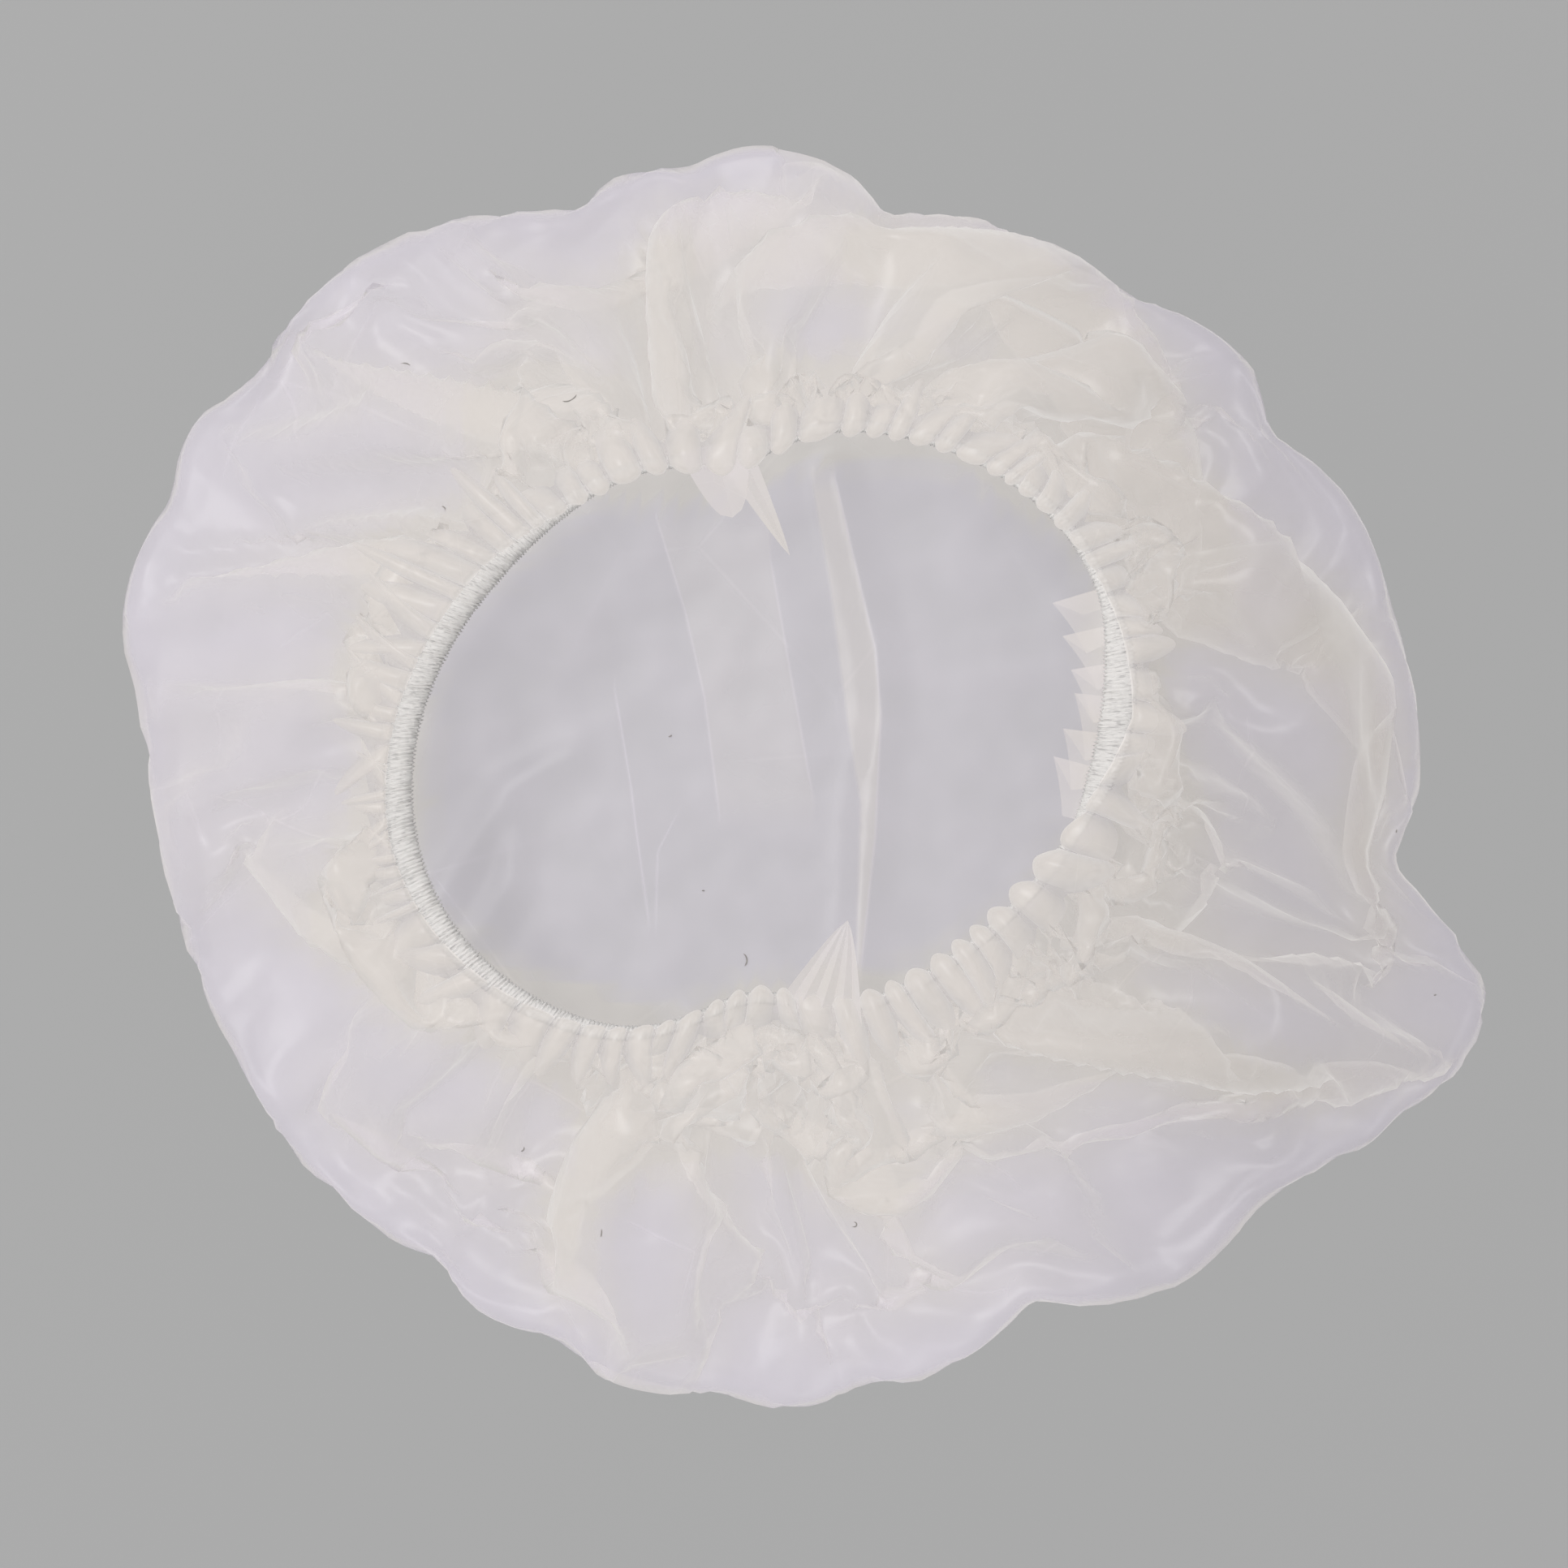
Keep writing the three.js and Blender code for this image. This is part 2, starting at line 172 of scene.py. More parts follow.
def square_to_disc(x, y):
    """The square from -1 to 1 pressed into a circle of radius 1, ring by ring."""
    ring = np.maximum(np.abs(x), np.abs(y))
    wide = np.abs(x) >= np.abs(y)
    long_side = np.where(wide, x, y)
    short_side = np.where(wide, y, x)
    slant = math.pi / 4 * short_side / np.where(long_side == 0, 1, long_side)
    along = np.sign(long_side) * ring * np.cos(slant)
    across = np.sign(long_side) * ring * np.sin(slant)
    return np.where(wide, along, across), np.where(wide, across, along)


deselect()
bpy.ops.mesh.primitive_grid_add(x_subdivisions=GRID_CELLS, y_subdivisions=GRID_CELLS, size=2)
film = bpy.context.object
film.name = "film_bag"
square = vertex_places(film)
disc_x, disc_y = square_to_disc(square[:, 0], square[:, 1])
flat = np.stack([disc_x, disc_y, 0 * disc_x], 1) * CUT_RADIUS
flat = flat + np.array([*CUT_SHIFT, 0])
place_vertices(film, flat)
cut_place = film.data.attributes.new("cut_place", "FLOAT_VECTOR", "POINT")
cut_place.data.foreach_set("vector", flat.astype(np.float32).ravel())
print("flat cut", round(2 * CUT_RADIUS, 3), "m across,", len(film.data.polygons), "quads")

# %% [markdown]
# A shape key carries the edge of the cut from the flat circle to the mouth, and animating its value
# is what gathers the film. The hem and the crown that lies inside the outline are held by a vertex group.
# Everything between the two is free, and the simulation crumples it.

# %% The gathered edge as a shape key, and what holds still
HEM_BAND = 0.0055
SEAL_PULL = 0.22
SEAL_SIDE = 95.0
CROWN_SHARE = 0.99
CROWN_FADE = 0.02
HEM_OUT = 0.001
HEM_SPREAD = 0.8
HEM_DROP = 0.0015
PLEAT_LIFT = 0.5


def gathered_places(places):
    """Where the hem of the cut goes on the mouth, and how firmly each vertex is held."""
    from_middle = places[:, :2] - CUT_SHIFT
    to_edge = CUT_RADIUS - np.hypot(*from_middle.T)
    direction = np.degrees(np.arctan2(places[:, 1], places[:, 0]))
    drawn = direction - np.degrees(SEAL_PULL) * np.sin(np.radians(2 * (direction - SEAL_SIDE)))
    hem = to_edge < HEM_BAND
    goal = places.copy()
    wave = np.sin(2 * np.pi * pleat_count(drawn))
    lift = stretch_value(drawn, "height") * PLEAT_LIFT * wave
    goal[hem] = mouth_point(drawn[hem], HEM_OUT + HEM_SPREAD * np.maximum(to_edge[hem], 0))
    goal[hem, 2] += lift[hem] - HEM_DROP
    outline = np.interp(direction, DIRECTIONS, outline_reaches, period=360)
    share = np.hypot(places[:, 0], places[:, 1]) / outline
    held = np.where(hem, 1.0, np.clip((CROWN_SHARE - share) / CROWN_FADE, 0, 1))
    return goal, held


flat_places = vertex_places(film)
goal, held = gathered_places(flat_places)
film.shape_key_add(name="flat")
gather_key = film.shape_key_add(name="gathered")
gather_key.data.foreach_set("co", goal.astype(np.float32).ravel())
hold_group = film.vertex_groups.new(name="held")
held_steps = np.round(held, 2)
for step in np.unique(held_steps[held_steps > 0]):
    hold_group.add(np.flatnonzero(held_steps == step).tolist(), float(step), "REPLACE")
print("held vertices:", int((held == 1).sum()), "free:", int((held == 0).sum()))

# %% [markdown]
# Blender's Cloth does the gathering in two passes. The first draws the hem in over a few dozen frames on a
# coarse film with self-collision, which makes the big folds. Then the mesh is subdivided and, much softer
# to bend, settles for a few frames, which rounds the folds and puts in small wrinkles. A run on the fine
# mesh alone would take many minutes.

# %% Cloth settings and a helper that runs them
GATHER_FRAMES = 50
GATHER_SHARE = 0.72
SETTLE_FRAMES = 8
STIFF_BENDING = 60.0
SOFT_BENDING = 0.3
TABLE_SKIN = 0.001
scene = bpy.context.scene

deselect()
bpy.ops.mesh.primitive_plane_add(size=2, location=(0, 0, -TABLE_SKIN))
table_top = bpy.context.object
bpy.ops.object.modifier_add(type="COLLISION")
table_top.collision.thickness_outer = TABLE_SKIN
table_top.collision.cloth_friction = 5


def add_cloth(piece, frames, bending, self_collision):
    """Thin plastic film: hard to stretch, easy to bend."""
    cloth = piece.modifiers.new("Cloth", "CLOTH")
    settings = cloth.settings
    settings.quality = 5
    settings.mass = 0.05
    settings.air_damping = 8
    settings.tension_stiffness = 30
    settings.compression_stiffness = 21
    settings.shear_stiffness = 15
    settings.tension_damping = 10
    settings.compression_damping = 10
    settings.shear_damping = 10
    settings.bending_model = "ANGULAR"
    settings.bending_stiffness = bending
    settings.bending_damping = 0.5
    settings.vertex_group_mass = "held"
    settings.effector_weights.gravity = 0.8
    settings.use_pressure = True
    settings.uniform_pressure_force = 0.3
    cloth.collision_settings.distance_min = 0.001
    cloth.collision_settings.collision_quality = 2
    cloth.collision_settings.use_self_collision = self_collision
    cloth.collision_settings.self_distance_min = 0.0012
    cloth.collision_settings.self_friction = 2
    cloth.point_cache.frame_start = 1
    cloth.point_cache.frame_end = frames
    return settings


def run_cloth(piece, frames):
    """Plays the frames, then keeps the last one as the piece's own mesh."""
    for number in range(1, frames + 1):
        scene.frame_set(number)
    deselect()
    piece.select_set(True)
    bpy.context.view_layer.objects.active = piece
    bpy.ops.object.convert(target="MESH")
    scene.frame_set(1)
    places = vertex_places(piece)
    print(piece.name, "after", frames, "frames:", places.min(0).round(4), places.max(0).round(4))


# %% First pass: gather the coarse film
gather_key.value = 0
gather_key.keyframe_insert("value", frame=1)
gather_key.value = 1
gather_key.keyframe_insert("value", frame=int(GATHER_FRAMES * GATHER_SHARE))
add_cloth(film, GATHER_FRAMES, bending=STIFF_BENDING, self_collision=True)
run_cloth(film, GATHER_FRAMES)

# %% Second pass: a finer mesh settles into rounder folds
bpy.ops.object.modifier_add(type="SUBSURF")
film.modifiers["Subdivision"].subdivision_type = "SIMPLE"
film.modifiers["Subdivision"].levels = 1
film.modifiers["Subdivision"].render_levels = 1
bpy.ops.object.modifier_apply(modifier="Subdivision")
fine_flat = np.empty(len(film.data.vertices) * 3, np.float32)
film.data.attributes["cut_place"].data.foreach_get("vector", fine_flat)
fine_flat = fine_flat.reshape(-1, 3).astype(float)
add_cloth(film, SETTLE_FRAMES, bending=SOFT_BENDING, self_collision=False)
run_cloth(film, SETTLE_FRAMES)
bpy.data.objects.remove(table_top)

# %% [markdown]
# After the simulation the film gets what the photograph shows and a simulation can't know: the broad folds
# that packing left across the crown. They are low ridges along short lines. The film is also lifted clear
# of the floor by its own thickness.

# %% Broad ridges across the crown
FLOOR_GAP = 0.0004
BAND_RIDGE = [(0.006, 0.064), (0.010, 0.047), (0.015, 0.028),
              (0.016, 0.014), (0.013, -0.007), (0.011, -0.042)]
LOW_RIDGE = [(-0.080, -0.029), (-0.063, -0.002), (-0.050, 0.005)]
SIDE_RIDGE = [(-0.063, -0.002), (-0.062, -0.012), (-0.063, -0.022), (-0.070, -0.034)]
CROWN_FOLDS = [
    dict(line=BAND_RIDGE, height=0.0030, width=0.0032),
    dict(line=LOW_RIDGE, height=0.0016, width=0.0036),
    dict(line=SIDE_RIDGE, height=0.0014, width=0.0032),
]


def line_distance(points, start, end):
    """How far each point lies from a straight stretch."""
    stretch = np.subtract(end, start)
    share = np.clip((points - start) @ stretch / (stretch @ stretch), 0, 1)
    return np.hypot(*(points - start - share[:, None] * stretch).T)


film_places = vertex_places(film)
ridge = np.zeros(len(film_places))
for fold in CROWN_FOLDS:
    stretches = zip(fold["line"], fold["line"][1:])
    nearest = np.min([line_distance(fine_flat[:, :2], a, b) for a, b in stretches], 0)
    profile = np.exp(-(nearest / fold["width"]) ** 2)
    ridge = np.maximum(ridge, fold["height"] * profile)
film_places[:, 2] = np.maximum(film_places[:, 2], FLOOR_GAP) + ridge
print("crown folds:", len(CROWN_FOLDS), "highest ridge", ridge.max().round(4))

# %% [markdown]
# Two fittings follow. Near its edge the film is stretched a little, direction by direction, so that its
# outline is the solid's. Then film that has fallen in over the mouth goes back outside the elastic, and
# film beside it stays below a ceiling that climbs outwards, so the elastic and the rolls stay in sight.

# %% The outline, and a clear mouth
OUTLINE_SMOOTHING = 1.6
EDGE_FROM = 0.72
EDGE_POWER = 1.5
CROWN_TOP = 0.006
ROPE_GAP = 0.001
HEM_CLEAR = 0.005
HEM_CLIMB = 0.8
film_angle = np.degrees(np.arctan2(film_places[:, 1], film_places[:, 0]))
film_reach = np.hypot(film_places[:, 0], film_places[:, 1])
film_outline = farthest(film_angle, film_reach)
spread = np.exp(-(turn(DIRECTIONS - DIRECTIONS[:, None]) / OUTLINE_SMOOTHING) ** 2)
stretch = spread @ (outline_reaches / film_outline) / spread.sum(1)
wanted = np.interp(film_angle, DIRECTIONS, stretch, period=360)
reach_share = film_reach / np.interp(film_angle, DIRECTIONS, film_outline, period=360)
near_edge = np.clip((reach_share - EDGE_FROM) / (1 - EDGE_FROM), 0, 1)
film_places[:, :2] *= (1 + (wanted - 1) * near_edge ** EDGE_POWER)[:, None]
mouth_angle = np.degrees(np.arctan2(*(film_places[:, 1::-1] - MOUTH_CENTRE[::-1]).T))
rope_line = mouth_point(mouth_angle)
rope_reach = np.hypot(*(rope_line[:, :2] - MOUTH_CENTRE).T)
from_rope = np.hypot(*(film_places[:, :2] - MOUTH_CENTRE).T) - rope_reach
raised = film_places[:, 2] > CROWN_TOP
inside = raised & (from_rope < ROPE_GAP)
film_places[inside, :2] = mouth_point(mouth_angle[inside], ROPE_GAP)[:, :2]
ceiling = rope_line[:, 2] + HEM_CLIMB * np.maximum(from_rope - HEM_CLEAR, 0)
film_places[raised, 2] = np.minimum(film_places[raised, 2], ceiling[raised])
place_vertices(film, film_places)
print("film kept out of the mouth:", int(inside.sum()), "vertices")

# %% [markdown]
# Film looks cream where many layers lie over each other and lavender where one or two do. The number of
# layers is counted by dropping every vertex into small cells seen from above. It becomes an attribute
# that the finish reads, and so does the distance to the cut edge. A UV map holds the flat place, so creases
# run with the film.

# %% Layers of film, and the UV map of the flat cut
CELL = 0.004


def blur(grid, times):
    """Spreads each cell's count over its neighbours."""
    for _ in range(times):
        grid = (grid + np.roll(grid, 1, 0) + np.roll(grid, -1, 0)) / 3
        grid = (grid + np.roll(grid, 1, 1) + np.roll(grid, -1, 1)) / 3
    return grid


vertex_area = math.pi * CUT_RADIUS ** 2 / len(film_places)
cell_x = np.floor((film_places[:, 0] + FLAT_SIZE / 2) / CELL).astype(int)
cell_y = np.floor((film_places[:, 1] + FLAT_SIZE / 2) / CELL).astype(int)
cells = int(FLAT_SIZE / CELL) + 1
counted = np.zeros((cells, cells))
np.add.at(counted, (cell_x, cell_y), vertex_area / CELL ** 2)
layers = blur(counted, 2)[cell_x, cell_y]
edge_distance = CUT_RADIUS - np.hypot(*(fine_flat[:, :2] - CUT_SHIFT).T)
edge_mark = film.data.attributes.new("edge_distance", "FLOAT", "POINT")
edge_mark.data.foreach_set("value", edge_distance.astype(np.float32))
layer_mark = film.data.attributes.new("layers", "FLOAT", "POINT")
layer_mark.data.foreach_set("value", layers.astype(np.float32))
sheet_map = film.data.uv_layers.new(name="sheet")
corner_vertex = np.empty(len(film.data.loops), np.int32)
film.data.loops.foreach_get("vertex_index", corner_vertex)
sheet_places = fine_flat[corner_vertex, :2] / FLAT_SIZE + 0.5
sheet_map.data.foreach_set("uv", sheet_places.astype(np.float32).ravel())
bpy.ops.object.shade_smooth()
print("layers: middle value", np.median(layers).round(2), "most", layers.max().round(1))

# %% [markdown]
# The hem is the film's folded edge, drawn up in rolls over the elastic. Each roll is a small arch that
# starts under the rope, bulges over the mouth, and runs out into the film. A grid is bent round the mouth
# and every column reads its pleat's own height and reach from the table, with some chance added.

# %% The ruffled hem
HEM_COLUMNS = PLEATS * 16
HEM_ROWS = 20
HEM_RISE = 0.0008
ROLL_FULLNESS = 0.65
VALLEY_REACH = 0.35
VALLEY_HEIGHT = 0.15
roll_height = chance.uniform(0.65, 1.35, PLEATS)
roll_reach = chance.uniform(0.55, 1.35, PLEATS)
roll_lean = chance.normal(0, 2.5, PLEATS)


def new_grid(name, columns, rows):
    """A flat grid of quads, to be placed by its column and row shares from 0 to 1."""
    deselect()
    bpy.ops.mesh.primitive_grid_add(x_subdivisions=columns, y_subdivisions=rows, size=2)
    piece = bpy.context.object
    piece.name = name
    piece.data.name = name
    shares = (vertex_places(piece)[:, :2] + 1) / 2
    return piece, shares[:, 0], shares[:, 1]


def close_ring(piece):
    """Joins the first and last column, and turns the faces outwards."""
    bpy.ops.object.mode_set(mode="EDIT")
    bpy.ops.mesh.select_all(action="SELECT")
    bpy.ops.mesh.remove_doubles(threshold=0.00001)
    bpy.ops.mesh.normals_make_consistent(inside=False)
    bpy.ops.object.mode_set(mode="OBJECT")
    bpy.ops.object.shade_smooth()


ROLL_PATH = [
    dict(out=0.10, nose=0.0, up=-0.30),
    dict(out=0.00, nose=0.6, up=0.05),
    dict(out=0.00, nose=1.0, up=0.45),
    dict(out=0.04, nose=0.7, up=0.85),
    dict(out=0.16, nose=0.0, up=1.00),
    dict(out=0.40, nose=0.0, up=0.82),
    dict(out=0.70, nose=0.0, up=0.40),
    dict(out=1.00, nose=0.0, up=-0.35),
]
hem, around, along = new_grid("ruffled_hem", HEM_COLUMNS, HEM_ROWS)
hem_angle = around * 360 + starts[0]
pleat = pleat_count(hem_angle % 360)
pleat_number = np.floor(pleat).astype(int) % PLEATS
arch = np.abs(np.sin(np.pi * pleat)) ** ROLL_FULLNESS
steps = np.linspace(0, 1, len(ROLL_PATH))
path_out = np.interp(along, steps, [row["out"] for row in ROLL_PATH])
path_nose = np.interp(along, steps, [row["nose"] for row in ROLL_PATH])
path_up = np.interp(along, steps, [row["up"] for row in ROLL_PATH])
height = stretch_value(hem_angle, "height") * (1 + arch * (roll_height[pleat_number] - 1))
reach = stretch_value(hem_angle, "reach") * (1 + arch * (roll_reach[pleat_number] - 1))
nose = stretch_value(hem_angle, "nose")
lean = roll_lean[pleat_number] * arch * path_out
outward = path_out * reach * (VALLEY_REACH + (1 - VALLEY_REACH) * arch)
outward = outward - np.where(nose > 0, nose * path_nose * arch, nose)
hem_places = mouth_point(hem_angle + lean, outward)
hem_places[:, 2] += HEM_RISE + height * path_up * (VALLEY_HEIGHT + (1 - VALLEY_HEIGHT) * arch)
place_vertices(hem, hem_places)
# rolls is high on the roll crests and low in the valleys between them, where the finish paints shade
roll_mark = hem.data.attributes.new("rolls", "FLOAT", "POINT")
roll_mark.data.foreach_set("value", (0.25 + 0.75 * arch - 0.35 * path_out).astype(np.float32))
close_ring(hem)
print("hem:", len(hem.data.polygons), "quads,", PLEATS, "rolls")

# %% [markdown]
# The elastic is a soft rope inside the hem, wrapped by film that is drawn so tight that it shows fine
# slanting wrinkles. A grid is rolled into a tube along the mouth line and the wrinkles are shallow waves
# round it. At the right the rope lies flat and shows its fibres.

# %% The elastic rope
ROPE_COLUMNS = 2400
ROPE_ROWS = 12
ROPE_WRINKLES = 560
ROPE_LENGTH = 0.43
ROPE_GIRTH = 0.016
rope, around, along = new_grid("elastic_rope", ROPE_COLUMNS, ROPE_ROWS)
rope_angle = around * 360
section = along * 2 * np.pi
wrinkle = np.sin(2 * np.pi * ROPE_WRINKLES * around + 2 * np.sin(section + 7 * np.pi * around) + section)
wrinkle_depth = 0.10 + 0.06 * np.sin(rope_angle * 0.61) * np.sin(rope_angle * 1.7)
thick = stretch_value(rope_angle, "rope") * (1 + wrinkle_depth * wrinkle)
flat_strip = np.exp(-(turn(rope_angle - 2) / 15) ** 4)
wide = thick * (1 + 1.1 * flat_strip)
tall = thick * (1 - 0.35 * flat_strip)
rope_places = mouth_point(rope_angle, wide * np.cos(section))
rope_places[:, 2] += tall * np.sin(section) - 0.5 * np.maximum(stretch_value(rope_angle, "nose"), 0)
place_vertices(rope, rope_places)
wrap_map = rope.data.uv_layers.new(name="wrap")
corner_vertex = np.empty(len(rope.data.loops), np.int32)
rope.data.loops.foreach_get("vertex_index", corner_vertex)
wrap_places = np.stack([around * ROPE_LENGTH, along * ROPE_GIRTH], 1)
wrap_map.data.foreach_set("uv", wrap_places[corner_vertex].astype(np.float32).ravel())
close_ring(rope)
print("rope:", len(rope.data.polygons), "quads")

# %% [markdown]
# At the right the hem's free edge shows inside the elastic as a small frill of flat pleats, each pressed
# over the next. It is one strip that runs forward, folds back by a part of a pleat, and runs forward again.
# The forward folds reach farther into the mouth, so each flap ends in a pointed corner.

# %% The accordion frill
FRILL_FROM = -15.0
FRILL_TO = 20.0
FRILL_PLEATS = 6
FRILL_STEPS = 8
BACK_SHARE = 0.40
FLAP_REACH = 0.0114
BACK_REACH = 0.0064
FLAP_SLIDE = 0.9
BACK_SLIDE = -0.7
FLAP_LIFT = 0.0012
FRILL_OUT = 0.001
FRILL_SINK = 0.0002
frill, around, along = new_grid("accordion_frill", 2 * FRILL_PLEATS * FRILL_STEPS, 5)
panel = around * 2 * FRILL_PLEATS
folds = np.arange(2 * FRILL_PLEATS + 1)
flap = folds % 2 == 1
forward = folds // 2 + np.where(flap, 1 + BACK_SHARE, 0)
forward = forward + np.where(flap, 0, chance.uniform(-0.15, 0.15, len(folds)))
fold_reach = np.where(flap, FLAP_REACH, BACK_REACH) + chance.uniform(-0.0014, 0.0014, len(folds))
fold_height = FLAP_LIFT * flap + chance.uniform(-0.0004, 0.0004, len(folds))
fold_slide = np.where(flap, FLAP_SLIDE, BACK_SLIDE) + chance.uniform(-0.9, 0.9, len(folds))
frill_angle = FRILL_FROM + np.interp(panel, folds, forward) / FRILL_PLEATS * (FRILL_TO - FRILL_FROM)
reach = np.interp(panel, folds, fold_reach)
slide = np.interp(panel, folds, fold_slide) * along
frill_places = mouth_point(frill_angle + slide, FRILL_OUT - along * reach)
frill_places[:, 2] += np.interp(panel, folds, fold_height) * along - FLAP_LIFT * along - FRILL_SINK
place_vertices(frill, frill_places)
bpy.ops.object.shade_smooth_by_angle(angle=math.radians(20))
print("frill pleats:", FRILL_PLEATS)

# %% [markdown]
# The film tube is sealed at two places, at the top and the bottom of the mouth, and each seal ends in a
# pointed tag that hangs into the mouth. A tag is a strip that narrows to its tip, with a few folds along it.

# %% The two seal ends
TAG_OUT = 0.004
TAG_FOLD = 0.0035
TAG_FLATTENING = 0.7
TAG_ARCH = 0.003
SEAL_ENDS = [
    dict(name="seal_end_top", root=96.0, tip=(-0.0035, 0.0466), droop=0.006,
         width=0.008, blunt=0.8, folds=1.5),
    dict(name="seal_loop_top", root=99.0, tip=(-0.0154, 0.0544), droop=0.003,
         width=0.015, blunt=0.45, folds=1.0),
    dict(name="seal_end_bottom", root=281.0, tip=(0.0086, -0.0295), droop=-0.004,
         width=0.020, blunt=0.8, folds=4.0),
]
seal_ends = []
for end in SEAL_ENDS:
    tag, across, along = new_grid(end["name"], 24, 14)
    root = mouth_point(np.array([end["root"]]), TAG_OUT)[0]
    tip = np.array([*end["tip"], root[2] - end["droop"]])
    side = np.cross(tip - root, (0, 0, 1))
    side /= np.linalg.norm(side)
    spread = (across - 0.5) * end["width"] * (1 - along) ** end["blunt"]
    fold_wave = np.abs((across * end["folds"]) % 1 * 2 - 1) - 0.5
    tag_places = root + along[:, None] * (tip - root) + spread[:, None] * side
    tag_places[:, 2] += fold_wave * TAG_FOLD * (1 - along) ** TAG_FLATTENING
    tag_places[:, 2] += TAG_ARCH * np.sin(np.pi * along)
    place_vertices(tag, tag_places)
    bpy.ops.object.shade_smooth_by_angle(angle=math.radians(35))
    seal_ends.append(tag)
print("seal ends:", [tag.name for tag in seal_ends])

# %% [markdown]
# A few fibres of lint cling to the film, as the photograph shows. Each is a thin bent tube. A ray dropped
# from above finds the film under it, so it lies on whatever fold is there.

# %% Lint on the film
LINT_RADIUS = 0.00013
DROP_FROM = 0.2
LINT = [
    dict(place=(-0.0493, 0.0791), length=0.0036, heading=25, bend=40),
    dict(place=(-0.0852, 0.0884), length=0.0022, heading=170, bend=30),
    dict(place=(-0.0429, -0.0951), length=0.0018, heading=85, bend=15),
    dict(place=(-0.0601, -0.0789), length=0.0014, heading=60, bend=50),
    dict(place=(-0.0760, 0.0569), length=0.0016, heading=120, bend=60),
    dict(place=(0.0107, -0.0946), length=0.0020, heading=75, bend=120),
    dict(place=(-0.0126, -0.0385), length=0.0030, heading=95, bend=50),
    dict(place=(-0.0289, 0.0091), length=0.0008, heading=30, bend=10),
    dict(place=(-0.0219, -0.0238), length=0.0006, heading=0, bend=0),
    dict(place=(0.1253, -0.0111), length=0.0007, heading=80, bend=0),
    dict(place=(0.1336, -0.0459), length=0.0006, heading=20, bend=0),
]
fibres = []
for row in LINT:
    fibre_piece, around, along = new_grid("lint", 6, 8)
    heading = np.radians(row["heading"] + row["bend"] * (along - 0.5))
    start = np.array([*row["place"], 0.0])
    ahead = np.stack([np.cos(heading), np.sin(heading), 0 * heading], 1)
    line = ahead * ((along - 0.5) * row["length"])[:, None]
    side = np.stack([-np.sin(heading), np.cos(heading), 0 * heading], 1)
    ring = LINT_RADIUS * np.sqrt(np.clip(1.0 - (2 * along - 1) ** 6, 0, 1))
    lint_places = start + line + side * (ring * np.cos(2 * np.pi * around))[:, None]
    hit, spot, _, _ = film.ray_cast((*row["place"], DROP_FROM), (0, 0, -1))
    lint_places[:, 2] += (spot.z if hit else FLOOR_GAP) + LINT_RADIUS + ring * np.sin(2 * np.pi * around)
    place_vertices(fibre_piece, lint_places)
    close_ring(fibre_piece)
    fibres.append(fibre_piece)
deselect()
for fibre_piece in fibres:
    fibre_piece.select_set(True)
bpy.context.view_layer.objects.active = fibres[0]
bpy.ops.object.join()
lint = fibres[0]
lint.name = "lint_fibres"
print("lint fibres:", len(LINT), "with", len(lint.data.polygons), "faces")

# %% [markdown]
# All film on the cap is crinkled in the same way, so the crinkle is a node group that each film finish uses
# with its own scale. Thin crease lines come from the borders of random cells and show only where a slow noise
# lets them. A second noise clouds the film and gives its surface a soft rumple.

# %% Helpers for finishes, and the shared crinkle
def new_finish(name):
    """An empty node material with its output."""
    finish = bpy.data.materials.new(name)
    finish.use_nodes = True
    finish.node_tree.nodes.clear()
    output = finish.node_tree.nodes.new("ShaderNodeOutputMaterial")
    return finish, finish.node_tree, output


def node(tree, kind, **settings):
    """A node of a kind, with its settings by name."""
    made = tree.nodes.new("ShaderNode" + kind)
    for name, value in settings.items():
        setattr(made, name, value)
    return made


def map_range(tree, source, low, high, to_low=0.0, to_high=1.0):
    """Brings a value from one range to another, and stays within it."""
    mapped = node(tree, "MapRange")
    for socket, value in zip(("From Min", "From Max", "To Min", "To Max"), (low, high, to_low, to_high)):
        mapped.inputs[socket].default_value = value
    tree.links.new(source, mapped.inputs["Value"])
    return mapped.outputs["Result"]


def math_node(tree, operation, first, second):
    """Arithmetic on two values, each a socket or a number."""
    made = node(tree, "Math", operation=operation)
    for socket, value in zip(made.inputs, (first, second)):
        if isinstance(value, (int, float)):
            socket.default_value = value
        else:
            tree.links.new(value, socket)
    return made.outputs["Value"]


CREASE_WIDTH = 0.016
PATCH_SCALE = 16
CLOUD_SCALE = 70
RUMPLE = 0.9
crinkle = bpy.data.node_groups.new("film crinkle", "ShaderNodeTree")
crinkle.interface.new_socket("Place", in_out="INPUT", socket_type="NodeSocketVector")
crinkle.interface.new_socket("Facets", in_out="INPUT", socket_type="NodeSocketFloat")
crinkle.interface.new_socket("Crease", in_out="OUTPUT", socket_type="NodeSocketFloat")
crinkle.interface.new_socket("Cloud", in_out="OUTPUT", socket_type="NodeSocketFloat")
crinkle.interface.new_socket("Height", in_out="OUTPUT", socket_type="NodeSocketFloat")
group_in = crinkle.nodes.new("NodeGroupInput")
group_out = crinkle.nodes.new("NodeGroupOutput")
place = group_in.outputs["Place"]


def flat_noise(scale, detail):
    """Noise over the group's own place, read from its x and y."""
    made = node(crinkle, "TexNoise", noise_dimensions="2D")
    made.inputs["Scale"].default_value = scale
    made.inputs["Detail"].default_value = detail
    crinkle.links.new(place, made.inputs["Vector"])
    return made.outputs["Fac"]


